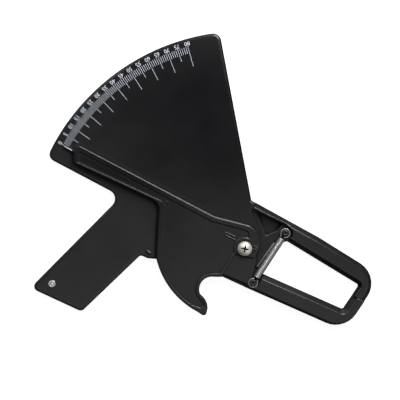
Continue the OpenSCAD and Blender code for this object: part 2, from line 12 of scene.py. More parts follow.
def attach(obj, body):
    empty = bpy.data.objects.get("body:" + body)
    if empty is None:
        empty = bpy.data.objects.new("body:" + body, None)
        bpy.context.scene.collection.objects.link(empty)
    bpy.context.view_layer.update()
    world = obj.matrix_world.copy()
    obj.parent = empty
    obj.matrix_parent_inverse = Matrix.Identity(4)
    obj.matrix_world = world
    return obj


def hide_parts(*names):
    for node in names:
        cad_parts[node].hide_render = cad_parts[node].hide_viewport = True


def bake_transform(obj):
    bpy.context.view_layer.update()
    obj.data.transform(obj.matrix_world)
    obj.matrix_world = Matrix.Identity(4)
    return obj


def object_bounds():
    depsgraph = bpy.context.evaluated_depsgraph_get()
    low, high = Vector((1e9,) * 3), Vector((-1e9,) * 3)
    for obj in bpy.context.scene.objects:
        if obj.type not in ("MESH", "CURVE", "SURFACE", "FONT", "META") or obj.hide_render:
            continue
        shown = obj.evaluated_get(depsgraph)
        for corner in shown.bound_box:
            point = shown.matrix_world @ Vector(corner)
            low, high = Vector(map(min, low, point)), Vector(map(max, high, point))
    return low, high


bl_info = {
    "name": "Skinfold Caliper Finishes",
    "version": (1, 0, 0),
    "blender": (4, 5, 0),
    "location": "View3D > Sidebar > Caliper",
    "description": "Dresses a moulded skinfold caliper and prints its scale",
    "category": "Object",
}

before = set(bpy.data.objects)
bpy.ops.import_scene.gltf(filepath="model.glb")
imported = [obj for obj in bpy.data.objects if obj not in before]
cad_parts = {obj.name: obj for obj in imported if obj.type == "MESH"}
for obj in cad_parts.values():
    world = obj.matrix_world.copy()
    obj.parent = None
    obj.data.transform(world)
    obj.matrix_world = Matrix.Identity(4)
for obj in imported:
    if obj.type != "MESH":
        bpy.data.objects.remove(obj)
CAD_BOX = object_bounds()

FRAME_BODY = "frame_body"
LEVER_BODY = "lever_body"

# Heights, in metres, of the faces that carry print
DIAL_FACE = 0.006
NEEDLE_FACE = 0.0082

# Places of the spring posts and the level of the spring's axis
FIXED_POST = Vector((0.0262, 0.0257, 0))
MOVING_POST = Vector((0.0182, -0.0236, 0))
SPRING_LEVEL = 0.009425


# ---------------------------------------------------------------- settings


class PlasticSettings(PropertyGroup):
    dial_colour: FloatVectorProperty(
        name="Dial colour",
        description="Colour of the frame moulding",
        subtype="COLOR",
        size=4,
        min=0,
        max=1,
        default=(0.0022, 0.0024, 0.003, 1),
    )
    lever_colour: FloatVectorProperty(
        name="Lever colour",
        description="Colour of the lever moulding",
        subtype="COLOR",
        size=4,
        min=0,
        max=1,
        default=(0.0012, 0.0013, 0.0015, 1),
    )
    # painted light: the paler colour laid on the mouldings away from their dark middle
    handled_colour: FloatVectorProperty(
        name="Painted lit colour",
        description="Colour of the mouldings where hands and skin rub them",
        subtype="COLOR",
        size=4,
        min=0,
        max=1,
        default=(0.0158, 0.016, 0.0164, 1),
    )
    # painted highlight: the colour laid on the crests of the mouldings that face the lamps
    edge_colour: FloatVectorProperty(
        name="Highlight colour",
        description="Colour of the rubbed edges of the mouldings",
        subtype="COLOR",
        size=4,
        min=0,
        max=1,
        default=(0.17, 0.173, 0.19, 1),
    )
    roughness: FloatProperty(
        name="Roughness",
        description="Mean roughness of the moulded faces",
        default=0.24,
        min=0.05,
        max=1,
    )
    grain: FloatProperty(
        name="Grain",
        description="Spacing of the moulded grain",
        default=0.0005,
        min=0.0001,
        max=0.005,
        unit="LENGTH",
    )


class ScaleSettings(PropertyGroup):
    ink: FloatVectorProperty(
        name="Ink",
        description="Colour of the printed scale",
        subtype="COLOR",
        size=4,
        min=0,
        max=1,
        default=(0.86, 0.9, 1, 1),
    )
    reach: FloatProperty(
        name="Jaw reach",
        description="Distance from the pivot to the middle of the jaw faces",
        default=0.1055,
        unit="LENGTH",
    )
    zero: FloatProperty(
        name="Zero mark",
        description="Direction of the zero mark from the pivot",
        default=math.radians(174.03),
        subtype="ANGLE",
        unit="ROTATION",
    )
    span: IntProperty(
        name="Span",
        description="Widest opening on the scale, in millimetres",
        default=80,
        min=10,
        max=90,
    )
    line: FloatProperty(
        name="Line width",
        description="Width of a printed tick",
        default=0.00031,
        unit="LENGTH",
    )
    digit: FloatProperty(
        name="Digit height",
        description="Height of the printed numbers",
        default=0.0034,
        unit="LENGTH",
    )


class SpringSettings(PropertyGroup):
    wire: FloatProperty(
        name="Wire",
        description="Wire diameter",
        default=0.00105,
        unit="LENGTH",
    )
    coil: FloatProperty(
        name="Coil",
        description="Mean diameter of the curls",
        default=0.005,
        unit="LENGTH",
    )
    loop: FloatProperty(
        name="Loop",
        description="Mean diameter of the end loops",
        default=0.0073,
        unit="LENGTH",
    )
    curls: IntProperty(
        name="Curls",
        description="Number of close-wound curls",
        default=35,
        min=8,
        max=60,
    )


class StageSettings(PropertyGroup):
    floor: FloatVectorProperty(
        name="Floor colour",
        description="Colour of the studio floor",
        subtype="COLOR",
        size=4,
        min=0,
        max=1,
        default=(0.5, 0.5, 0.5, 1),
    )
    lamp: FloatProperty(
        name="Key lamp",
        description="Power of the large soft lamp",
        default=6.5,
        min=0,
        unit="POWER",
    )
    height: FloatProperty(
        name="Camera height",
        description="Height of the camera over the dial",
        default=0.8,
        unit="LENGTH",
    )
    width: FloatProperty(
        name="Field width",
        description="Width of the field that the camera takes in",
        default=0.338,
        unit="LENGTH",
    )
    turn: FloatProperty(
        name="Camera turn",
        description="Turn of the camera about the line of sight",
        default=math.radians(23.8),
        subtype="ANGLE",
        unit="ROTATION",
    )


class CaliperSettings(PropertyGroup):
    plastic: PointerProperty(type=PlasticSettings)
    scale: PointerProperty(type=ScaleSettings)
    spring: PointerProperty(type=SpringSettings)
    stage: PointerProperty(type=StageSettings)


# ---------------------------------------------------------------- shader helpers


def add_node(tree, kind, inputs=None, **settings):
    """New node with its settings. Each input is linked to a socket or set to a value."""
    node = tree.nodes.new(kind)
    for key, value in settings.items():
        setattr(node, key, value)
    for key, given in (inputs or {}).items():
        if isinstance(given, bpy.types.NodeSocket):
            tree.links.new(given, node.inputs[key])
        else:
            node.inputs[key].default_value = given
    return node


def noise(tree, place, scale, detail, roughness=0.5):
    inputs = {"Vector": place, "Scale": scale, "Detail": detail, "Roughness": roughness}
    return add_node(tree, "ShaderNodeTexNoise", inputs).outputs["Fac"]


def remap(tree, value, start, end, low=0.0, high=1.0, kind="LINEAR"):
    """The value taken from start..end to low..high, and held there beyond."""
    inputs = {"Value": value, "From Min": start, "From Max": end, "To Min": low, "To Max": high}
    return add_node(tree, "ShaderNodeMapRange", inputs, interpolation_type=kind).outputs["Result"]


def reckon(tree, operation, *values):
    """Result of a Math node on up to three values."""
    node = add_node(tree, "ShaderNodeMath", dict(enumerate(values)), operation=operation)
    return node.outputs["Value"]


def product(tree, first, *others):
    for other in others:
        first = reckon(tree, "MULTIPLY", first, other)
    return first


def measure(tree, operation, first, second):
    """Dot product or distance of two vectors."""
    node = add_node(tree, "ShaderNodeVectorMath", {0: first, 1: second}, operation=operation)
    return node.outputs["Value"]


def scaled(tree, vector, factor):
    inputs = {0: vector, "Scale": factor}
    return add_node(tree, "ShaderNodeVectorMath", inputs, operation="SCALE").outputs["Vector"]


def colour_mix(tree, factor, first, second):
    inputs = {"Factor": factor, 6: first, 7: second}
    return add_node(tree, "ShaderNodeMix", inputs, data_type="RGBA").outputs[2]


def ramp(tree, value, stops):
    """Colours at the stops, each a position and a colour, and blends between them."""
    node = add_node(tree, "ShaderNodeValToRGB", {"Fac": value})
    elements = node.color_ramp.elements
    while len(elements) < len(stops):
        elements.new(0.5)
    for element, (position, colour) in zip(elements, stops):
        element.position = position
        element.color = (*colour, 1)
    return node.outputs["Color"]


def openness(tree, reach, samples, own=False):
    """Open air round a point: 1 on a free face, lower in a crease or a deep place."""
    inputs = {"Distance": reach}
    node = add_node(
        tree, "ShaderNodeAmbientOcclusion", inputs, samples=samples, only_local=own
    )
    return node.outputs["AO"]


def rounded_normal(tree, radius, samples):
    return add_node(tree, "ShaderNodeBevel", {"Radius": radius}, samples=samples).outputs["Normal"]


def new_group(name, inputs):
    """Shader group with named inputs, and with colour, roughness and normal to give."""
    group = bpy.data.node_groups.new(name, "ShaderNodeTree")
    sockets = group.interface.new_socket
    for key, kind, default in inputs:
        made = sockets(name=key, in_out="INPUT", socket_type="NodeSocket" + kind)
        made.default_value = default
    for key, kind in (("Colour", "Color"), ("Roughness", "Float"), ("Normal", "Vector")):
        sockets(name=key, in_out="OUTPUT", socket_type="NodeSocket" + kind)
    return group


# ---------------------------------------------------------------- shader groups

# Direction, in the plane of the dial, of the lamps' side: edges that face it get a painted
# highlight
HIGHLIGHT_SIDE = (-0.32, 0.95, 0)
# Rounding, in metres, of the crests that get the painted highlight
CREST_RADIUS = 0.0009
# Reach of the painted shade on sunk faces, and the reach of the creases' dirt
SUNK_SHADE_REACH = 0.0035
CREASE_REACH = 0.0005
# Roughness of the dull faces in the creases
DULL = 0.9
# brown dirt and painted shade where the metal lies deep
DIRT_AND_SHADE_COLOUR = (0.012, 0.006, 0.002, 1)
# dark brown over the screw's cross recess: dirt and painted shade
RECESS_DIRT_AND_SHADE = (0.009, 0.004, 0.0015, 1)


def moulded_grain():
    """Group: fine sand grain, faint cloudiness and scuffs of a satin moulding, with painted light
    away from a dark middle, painted shade on sunk faces and painted highlights on edges that face
    the lamps.
    """
    name = "Moulded Grain"
    if name in bpy.data.node_groups:
        return bpy.data.node_groups[name]
    group = new_group(
        name,
        (
            ("Colour", "Color", (0.01, 0.01, 0.01, 1)),
            ("Roughness", "Float", 0.4),
            ("Grain Scale", "Float", 2000.0),
            ("Grain Depth", "Float", 0.00001),
            ("Edge Radius", "Float", 0.001),
            ("Highlight Colour", "Color", (0.1, 0.1, 0.1, 1)),
            ("Painted Lit Colour", "Color", (0.01, 0.01, 0.01, 1)),
            ("Dark Middle", "Vector", (0, 0, 0)),
            ("Dark Radius", "Float", 0.1),
        ),
    )
    given = add_node(group, "NodeGroupInput").outputs
    place = add_node(group, "ShaderNodeTexCoord").outputs["Object"]
    grain = noise(group, place, given["Grain Scale"], 3)
    cloud = noise(group, place, 26, 5, 0.6)
    stretch = {"Vector": place, "Rotation": (0, 0, 0.6), "Scale": (30, 900, 30)}
    scuff_place = add_node(group, "ShaderNodeMapping", stretch).outputs["Vector"]
    scuff = remap(group, noise(group, scuff_place, 1, 2), 0.66, 0.76)
    # colour: lighter by a fifth in the clouds and where the scuffs run
    shade = remap(group, cloud, 0.3, 0.7, 0.82, 1.24)
    shade = reckon(group, "MULTIPLY_ADD", scuff, 0.18, shade)
    # painted light: away from a dark middle point the skin is painted paler
    away = measure(group, "DISTANCE", place, given["Dark Middle"])
    share = reckon(group, "DIVIDE", away, given["Dark Radius"])
    painted_lit = remap(group, share, 0.28, 1.0)
    # painted shade: sunk faces keep the dark colour, without the painted light
    out_of_sunk_shade = remap(group, openness(group, SUNK_SHADE_REACH, 6), 0.75, 0.98)
    painted_lit_share = product(group, painted_lit, out_of_sunk_shade)
    skin = colour_mix(group, painted_lit_share, given["Colour"], given["Painted Lit Colour"])
    # edges: where the rounded normal leaves the face's own, the skin gets a painted highlight
    crest = rounded_normal(group, CREST_RADIUS, 6)
    own = add_node(group, "ShaderNodeNewGeometry").outputs["Normal"]
    highlight_crest = remap(group, measure(group, "DOT_PRODUCT", crest, own), 0.98, 0.88)
    # corners: open to the air is 1, a crease between two walls is lower
    open_air = remap(group, openness(group, CREASE_REACH, 6), 0.72, 0.93)
    # the painted highlight goes only on edges that face the lamps' side, most where the skin is
    # painted lit
    turned = add_node(
        group,
        "ShaderNodeVectorTransform",
        {"Vector": crest},
        vector_type="NORMAL",
        convert_from="WORLD",
        convert_to="OBJECT",
    )
    facing = measure(group, "DOT_PRODUCT", turned.outputs["Vector"], HIGHLIGHT_SIDE)
    lamp_side_share = remap(group, facing, 0.22, 0.55)
    lit_weight = reckon(group, "POWER", painted_lit, 2)
    painted_highlight = product(group, highlight_crest, product(group, lamp_side_share, lit_weight), open_air, out_of_sunk_shade)
    skin = scaled(group, skin, shade)
    colour = colour_mix(group, painted_highlight, skin, given["Highlight Colour"])
    # roughness: a little up and down round the given value, and dull in the creases
    swing = remap(group, cloud, 0.0, 1.0, -0.06, 0.08)
    rough = reckon(group, "ADD", given["Roughness"], swing)
    clear = product(group, open_air, out_of_sunk_shade)
    rough = add_node(group, "ShaderNodeMix", {"Factor": clear, 2: DULL, 3: rough}).outputs[0]
    bumps = {
        "Strength": 0.5,
        "Distance": given["Grain Depth"],
        "Height": grain,
        "Normal": rounded_normal(group, given["Edge Radius"], 8),
    }
    normal = add_node(group, "ShaderNodeBump", bumps).outputs["Normal"]
    add_node(group, "NodeGroupOutput", {"Colour": colour, "Roughness": rough, "Normal": normal})
    return group


def worked_metal():
    """Group: fine tool lines, faint staining, and brown dirt with painted shade in the deep places
    of small plated hardware.
    """
    name = "Worked Metal"
    if name in bpy.data.node_groups:
        return bpy.data.node_groups[name]
    group = new_group(
        name,
        (
            ("Colour", "Color", (0.6, 0.6, 0.6, 1)),
            ("Roughness", "Float", 0.3),
            ("Line Scale", "Float", 4000.0),
            ("Dirt And Shade", "Float", 0.5),
            ("Dirt And Shade Depth", "Float", 0.0015),
        ),
    )
    given = add_node(group, "NodeGroupInput").outputs
    place = add_node(group, "ShaderNodeTexCoord").outputs["Object"]
    lines = noise(group, place, given["Line Scale"], 4)
    stain = remap(group, noise(group, place, 420, 3), 0.0, 1.0, 0.84, 1.06)
    tint = scaled(group, given["Colour"], stain)
    # brown dirt and painted shade where the metal lies deep between its own walls
    deep_dirt_and_shade = remap(group, openness(group, given["Dirt And Shade Depth"], 8, own=True), 0.96, 0.74)
    colour = colour_mix(group, product(group, deep_dirt_and_shade, given["Dirt And Shade"]), tint, DIRT_AND_SHADE_COLOUR)
    swing = remap(group, lines, 0.0, 1.0, -0.08, 0.1)
    rough = reckon(group, "ADD", given["Roughness"], swing)
    bumps = {"Strength": 0.3, "Distance": 0.000008, "Height": lines}
    normal = add_node(group, "ShaderNodeBump", bumps).outputs["Normal"]
    add_node(group, "NodeGroupOutput", {"Colour": colour, "Roughness": rough, "Normal": normal})
    return group


# ---------------------------------------------------------------- materials


def new_material(name):
    """Material with its tree and its Principled shader."""
    made = bpy.data.materials.new(name)
    made.use_nodes = True
    return made, made.node_tree, made.node_tree.nodes["Principled BSDF"]


def finish_material(name, group, values, metal=0.0):
    """A Principled material fed by one of the groups, with the group's own values."""
    if name in bpy.data.materials:
        return bpy.data.materials[name]
    made, tree, shader = new_material(name)
    effect = add_node(tree, "ShaderNodeGroup", values, node_tree=group).outputs
    tree.links.new(effect["Colour"], shader.inputs["Base Color"])
    tree.links.new(effect["Roughness"], shader.inputs["Roughness"])
    tree.links.new(effect["Normal"], shader.inputs["Normal"])
    shader.inputs["Metallic"].default_value = metal
    return made


def plastic_material(name, colour, middle, radius, edge, painted_lit=None):
    settings = bpy.context.scene.caliper.plastic
    values = {
        "Colour": tuple(colour),
        "Roughness": settings.roughness,
        "Grain Scale": 1 / settings.grain,
        "Grain Depth": 0.000012,
        "Highlight Colour": tuple(settings.edge_colour),
        "Painted Lit Colour": tuple(painted_lit or settings.handled_colour),
        "Dark Middle": middle,
        "Dark Radius": radius,
        "Edge Radius": edge,
    }
    return finish_material(name, moulded_grain(), values)


def metal_material(name, colour, roughness, dirt_and_shade, depth=0.0015, metal=1.0, lines=5200.0):
    values = {
        "Colour": (*colour, 1),
        "Roughness": roughness,
        "Line Scale": lines,
        "Dirt And Shade": dirt_and_shade,
        "Dirt And Shade Depth": depth,
    }
    return finish_material(name, worked_metal(), values, metal)


def soil_recess(material, half_width, reach, turn):
    """Brown dirt and painted shade over the cross recess of a screw, in a star that tapers
    outwards.
    """
    tree = material.node_tree
    base = tree.nodes["Principled BSDF"].inputs["Base Color"]
    place = add_node(tree, "ShaderNodeTexCoord").outputs["Object"]
    turned = add_node(tree, "ShaderNodeMapping", {"Vector": place, "Rotation": (0, 0, -turn)})
    flat = add_node(
        tree, "ShaderNodeVectorMath", {0: turned.outputs["Vector"]}, operation="ABSOLUTE"
    )
    split = add_node(tree, "ShaderNodeSeparateXYZ", {"Vector": flat.outputs["Vector"]}).outputs
    arms = []
    for along, across in (("X", "Y"), ("Y", "X")):
        taper = reckon(tree, "MULTIPLY_ADD", split[along], -half_width / reach, half_width)
        arms.append(reckon(tree, "SUBTRACT", taper, split[across]))
    star = reckon(tree, "MAXIMUM", *arms)
    mask = remap(tree, star, -0.0001, 0.0002, kind="SMOOTHSTEP")
    tree.links.new(colour_mix(tree, mask, base.links[0].from_socket, RECESS_DIRT_AND_SHADE), base)


def ink_material():
    """Screen-printed white, thin enough that the black shows through in specks."""
    name = "scale_ink"
    if name in bpy.data.materials:
        return bpy.data.materials[name]
    made, tree, shader = new_material(name)
    ink = bpy.context.scene.caliper.scale.ink[:3]
    place = add_node(tree, "ShaderNodeTexCoord").outputs["Object"]
    thin = tuple(0.75 * part for part in ink)
    colour = ramp(tree, noise(tree, place, 2600, 2), ((0.3, thin), (0.5, ink)))
    tree.links.new(colour, shader.inputs["Base Color"])
    shader.inputs["Roughness"].default_value = 0.6
    return made


# ---------------------------------------------------------------- mesh helpers


def add_piece(name, mesh, material, body=None):
    made = bpy.data.objects.new(name, mesh)
    bpy.context.scene.collection.objects.link(made)
    made.data.materials.clear()
    made.data.materials.append(material)
    if body:
        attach(made, body)
    return made


def dress(node, material):
    for slot in bpy.data.objects[node].material_slots:
        slot.material = material


def radial(angle, radius, height=0.0):
    return Vector((radius * math.cos(angle), radius * math.sin(angle), height))


def bridge(bm, rings):
    """Faces between each ring of vertices and the next."""
    for one, two in zip(rings, rings[1:]):
        for k in range(len(one)):
            j = (k + 1) % len(one)
            bm.faces.new((one[k], one[j], two[j], two[k]))


def add_prism(bm, corners, low, high):
    """Closed prism on flat corners. Returns the vertices of its top."""
    bottom = [bm.verts.new((c[0], c[1], low)) for c in corners]
    top = [bm.verts.new((c[0], c[1], high)) for c in corners]
    bm.faces.new(bottom[::-1])
    bm.faces.new(top)
    bridge(bm, (bottom, top))
    return top


def mesh_from(bm, name, smooth=False):
    bmesh.ops.recalc_face_normals(bm, faces=bm.faces)
    mesh = bpy.data.meshes.new(name)
    bm.to_mesh(mesh)
    bm.free()
    if smooth:
        mesh.shade_smooth()
    return mesh


# ---------------------------------------------------------------- mouldings and hardware

# Middles on frame and lever round which the skin keeps its dark colour, with painted light further
# out, with the reach of each, and the radius of the moulding's rounded edges
FRAME_SKIN = ((-0.07, 0.09, 0), 0.115, 0.0022)
LEVER_SKIN = ((-0.116, 0.012, 0), 0.08, 0.0013)
# The painted shade and brown dirt over the screw's cross recess: half the width of an arm, its
# reach and the turn of the cross
RECESS_HALF_WIDTH = 0.001
RECESS_REACH = 0.0044
RECESS_TURN = math.radians(12)


# Finish of the acetal washer: its three colours lie close, so it shows hardly any painted light or
# painted highlight
ACETAL = {
    "Colour": (0.7, 0.69, 0.65, 1),
    "Painted Lit Colour": (0.7, 0.69, 0.65, 1),
    "Highlight Colour": (0.74, 0.73, 0.69, 1),
    "Roughness": 0.45,
    "Grain Scale": 1500.0,
    "Grain Depth": 0.00001,
}


class CALIPER_OT_dress_mouldings(Operator):
    """Give the frame and the lever their satin black moulded finish"""

    bl_idname = "caliper.dress_mouldings"
    bl_label = "Dress Mouldings"

    def execute(self, context):
        settings = context.scene.caliper.plastic
        dress("frame", plastic_material("frame_black", settings.dial_colour, *FRAME_SKIN))
        dress("lever", plastic_material("lever_black", settings.lever_colour, *LEVER_SKIN))
        return {"FINISHED"}


class CALIPER_OT_dress_hardware(Operator):
    """Give screw, washers, bushing, nut and eyelet their metal and acetal finishes"""

    bl_idname = "caliper.dress_hardware"
    bl_label = "Dress Hardware"

    def execute(self, context):
        nickel = metal_material(
            "screw_nickel", (0.96, 0.92, 0.83), 0.42, dirt_and_shade=1.0, depth=0.0022, metal=0.6
        )
        soil_recess(nickel, RECESS_HALF_WIDTH, RECESS_REACH, RECESS_TURN)
        dress("pivot_screw", nickel)
        zinc = metal_material("hardware_zinc", (0.55, 0.55, 0.56), 0.34, dirt_and_shade=0.5)
        for node in ("head_washer", "pivot_bushing", "pivot_nut", "eyelet_washer"):
            dress(node, zinc)
        eyelet = metal_material(
            "eyelet_nickel", (0.8, 0.77, 0.7), 0.35, dirt_and_shade=0.7, depth=0.001, metal=0.7
        )
        dress("grip_eyelet", eyelet)
        dress("thrust_washer", finish_material("washer_acetal", moulded_grain(), ACETAL))
        return {"FINISHED"}


# Ends of the bead beside the spring, and outline of the web between throat and moving arm
BEAD_ENDS = (Vector((0.0163, -0.0098, DIAL_FACE)), Vector((0.021, 0.0139, DIAL_FACE)))
BEAD_SIZE = (0.0006, 0.00035)
WEB_OUTLINE = (
    (0.0124, -0.0158),
    (0.0124, -0.01235),
    (0.0183, -0.01145),
    (0.0192, -0.012),
    (0.0203, -0.0137),
    (0.0203, -0.0158),
)
WEB_LEVELS = (0.0004, 0.0055)
WEB_ROUND = 0.0003
BEAD_SIDES = 16
# pale colour of the bead: a painted highlight
BEAD_HIGHLIGHT_COLOUR = (0.3, 0.305, 0.32, 1)


def bead_mesh(name, ends, half_width, height):
    """Low bead with round ends, its lower half sunk into the face."""
    a, b = ends
    along = (b - a).normalized()
    side = Vector((-along.y, along.x, 0))
    stations = [(a, math.radians(t)) for t in (-80, -55, -30, 0)]
    stations += [(b, math.radians(t)) for t in (0, 30, 55, 80)]
    bm = bmesh.new()
    rings = []
    for end, turn in stations:
        middle = end + along * half_width * math.sin(turn)
        ring = []
        for k in range(BEAD_SIDES):
            angle = 2 * math.pi * k / BEAD_SIDES
            across = side * half_width * math.cos(angle)
            up = Vector((0, 0, height * math.sin(angle)))
            ring.append(bm.verts.new(middle + (across + up) * math.cos(turn)))
        rings.append(ring)
    bridge(bm, rings)
    bm.faces.new(rings[0][::-1])
    bm.faces.new(rings[-1])
    return mesh_from(bm, name, smooth=True)


class CALIPER_OT_trim_throat(Operator):
    """Lay the pale bead beside the spring, its colour a painted highlight, and the web that closes
    the gap below it
    """

    bl_idname = "caliper.trim_throat"
    bl_label = "Trim Throat"

    def execute(self, context):
        settings = context.scene.caliper.plastic
        # the bead's pale colour is a painted highlight
        painted_highlight = plastic_material("bead_rubbed", BEAD_HIGHLIGHT_COLOUR, *FRAME_SKIN, BEAD_HIGHLIGHT_COLOUR)
        bead = add_piece(
            "throat_bead", bead_mesh("throat_bead", BEAD_ENDS, *BEAD_SIZE), painted_highlight, FRAME_BODY
        )
        bm = bmesh.new()
        top = add_prism(bm, WEB_OUTLINE, *WEB_LEVELS)
        crest = [e for e in bm.edges if all(v in top for v in e.verts)]
        bmesh.ops.bevel(bm, geom=crest, offset=WEB_ROUND, segments=2, affect="EDGES")
        web = add_piece(
            "throat_web",
            mesh_from(bm, "throat_web"),
            plastic_material("lever_black", settings.lever_colour, *LEVER_SKIN),
            LEVER_BODY,
        )
        return {"FINISHED"}


# ---------------------------------------------------------------- printed scale

# Inner and outer ends of the ticks at every millimetre, fifth and tenth
TICK_SHORT = (0.1712, 0.1768)
TICK_MIDDLE = (0.1665, 0.1778)
TICK_LONG = (0.1597, 0.1775)
NUMBER_RADIUS = 0.1796
# Index line on the needle: its direction, ends and half width
INDEX_TURN = math.radians(174.2)
INDEX_LINE = (0.1672, 0.1748)
INDEX_HALF_WIDTH = 0.0003
# How far the ink goes below the face that it is printed on, and stands above it
INK_SINK = 0.00002
INK_RISE = 0.00004
# Height of a digit as a share of the size of its type
DIGIT_SHARE = 0.7


def tick_angle(gap_mm):
    """Direction from the pivot that the pointer has at a jaw opening in millimetres."""
    scale = bpy.context.scene.caliper.scale
    return scale.zero - 2 * math.asin(gap_mm / 1000 / 2 / scale.reach)


def tick_ends(gap_mm):
    if gap_mm % 10 == 0:
        return TICK_LONG
    if gap_mm % 5 == 0:
        return TICK_MIDDLE
    return TICK_SHORT


class CALIPER_OT_print_ticks(Operator):
    """Print one tick for each millimetre of opening along the dial's edge"""

    bl_idname = "caliper.print_ticks"
    bl_label = "Print Ticks"

    def execute(self, context):
        scale = context.scene.caliper.scale
        bm = bmesh.new()
        for gap in range(scale.span + 1):
            angle = tick_angle(gap)
            inner, outer = tick_ends(gap)
            side = radial(angle + math.pi / 2, scale.line / 2)
            a, b = radial(angle, inner), radial(angle, outer)
            corners = (a - side, b - side, b + side, a + side)
            add_prism(bm, corners, DIAL_FACE - INK_SINK, DIAL_FACE + INK_RISE)
        mesh = mesh_from(bm, "scale_ticks")
        add_piece("scale_ticks", mesh, ink_material(), FRAME_BODY)
        return {"FINISHED"}


class CALIPER_OT_print_numbers(Operator):
    """Print the opening in millimetres beside every fifth tick"""

    bl_idname = "caliper.print_numbers"
    bl_label = "Print Numbers"

    def execute(self, context):
        scale = context.scene.caliper.scale
        bm = bmesh.new()
        for gap in range(0, scale.span + 1, 5):
            curve = bpy.data.curves.new("number", "FONT")
            curve.body = str(gap)
            curve.align_x, curve.align_y = "CENTER", "CENTER"
            curve.size = scale.digit / DIGIT_SHARE
            curve.extrude = (INK_SINK + INK_RISE) / 2
            curve.resolution_u = 3
            text = bpy.data.objects.new("number", curve)
            context.scene.collection.objects.link(text)
            context.view_layer.update()
            graph = context.evaluated_depsgraph_get()
            mesh = bpy.data.meshes.new_from_object(text.evaluated_get(graph))
            angle = tick_angle(gap)
            middle = DIAL_FACE + (INK_RISE - INK_SINK) / 2
            turn = Matrix.Rotation(angle + math.pi / 2, 4, "Z")
            mesh.transform(Matrix.Translation(radial(angle, NUMBER_RADIUS, middle)) @ turn)
            bm.from_mesh(mesh)
            bpy.data.objects.remove(text)
            bpy.data.curves.remove(curve)
            bpy.data.meshes.remove(mesh)
        mesh = mesh_from(bm, "scale_numbers")
        add_piece("scale_numbers", mesh, ink_material(), FRAME_BODY)
        return {"FINISHED"}


class CALIPER_OT_print_index(Operator):
    """Print the white index line along the needle"""

    bl_idname = "caliper.print_index"
    bl_label = "Print Index Line"

    def execute(self, context):
        side = radial(INDEX_TURN + math.pi / 2, INDEX_HALF_WIDTH)
        a, b = (radial(INDEX_TURN, radius) for radius in INDEX_LINE)
        bm = bmesh.new()
        corners = (a - side, b - side, b + side, a + side)
        add_prism(bm, corners, NEEDLE_FACE - INK_SINK, NEEDLE_FACE + INK_RISE)
        mesh = mesh_from(bm, "index_line")
        add_piece("index_line", mesh, ink_material(), LEVER_BODY)
        return {"FINISHED"}


# ---------------------------------------------------------------- spring

RINGS_PER_CURL = 20
WIRE_SIDES = 10
LEAD_STEPS = 12
LOOP_STEPS = 40
LOOP_START = math.radians(130)
LOOP_TURN = math.radians(280)
LEAD_HAND = 0.0024
# Length that each loop and its lead take from the coil's half, beside the loop's radius
LEAD_LENGTH = 0.0019
# Bulge of the wire's ends, as a share of its thickness
TIP_BULGE = 0.22


def bezier(a, b, c, d, t):
    s = 1 - t
    return a * s**3 + b * (3 * t * s * s) + c * (3 * t * t * s) + d * t**3


def spring_path(spring, half):
    """Centre line of the wire: u along the spring, v across it, w up, from the middle."""
    coil, loop = spring.coil / 2, spring.loop / 2
    body = half - loop - LEAD_LENGTH
    steps = spring.curls * RINGS_PER_CURL
    pitch = 2 * body / spring.curls
    winding = []
    for k in range(steps + 1):
        turn = 2 * math.pi * k / RINGS_PER_CURL - math.pi / 2
        u = -body + 2 * body * k / steps
        winding.append(Vector((u, coil * math.cos(turn), coil * math.sin(turn))))
    leave = Vector((pitch, 2 * math.pi * coil, 0)).normalized()
    arrive = Vector((math.sin(LOOP_START), -math.cos(LOOP_START), 0))
    start = Vector((body, 0, -coil))
    stop = Vector((half + loop * math.cos(LOOP_START), loop * math.sin(LOOP_START), 0))
    hands = start + LEAD_HAND * leave, stop - LEAD_HAND * arrive
    end = [bezier(start, *hands, stop, k / LEAD_STEPS) for k in range(1, LEAD_STEPS + 1)]
    for k in range(1, LOOP_STEPS + 1):
        a = LOOP_START - LOOP_TURN * k / LOOP_STEPS
        end.append(Vector((half + loop * math.cos(a), loop * math.sin(a), 0)))
    a = LOOP_START - LOOP_TURN
    end.append(end[-1] + spring.wire * Vector((math.sin(a), -math.cos(a), 0)))
    begin = [Vector((-p.x, -p.y, p.z)) for p in reversed(end)]
    return begin, winding, end


def wire_mesh(name, begin, winding, end, thick):
    """Round tube along the path, its rings turning with the curls, with rounded ends."""
    path = begin + winding + end
    last = len(path) - 1
    bm = bmesh.new()
    rings = []
    for k, point in enumerate(path):
        along = (path[min(k + 1, last)] - path[max(k - 1, 0)]).normalized()
        j = k - len(begin)
        inside = 0 <= j < len(winding)
        out = Vector((0, point.y, point.z)) if inside else Vector((0, 0, -1))
        out = (out - out.dot(along) * along).normalized()
        side = along.cross(out)
        ring = []
        for s in range(WIRE_SIDES):
            a = 2 * math.pi * s / WIRE_SIDES
            ring.append(
                bm.verts.new(point + thick / 2 * (math.cos(a) * out + math.sin(a) * side))
            )
        rings.append(ring)
    bridge(bm, rings)
    for ring, point, towards in ((rings[0], path[0], path[1]), (rings[-1], path[-1], path[-2])):
        tip = point + (point - towards).normalized() * thick * TIP_BULGE
        peak = bm.verts.new(tip)
        for s in range(WIRE_SIDES):
            bm.faces.new((ring[s], ring[(s + 1) % WIRE_SIDES], peak))
    return mesh_from(bm, name, smooth=True)


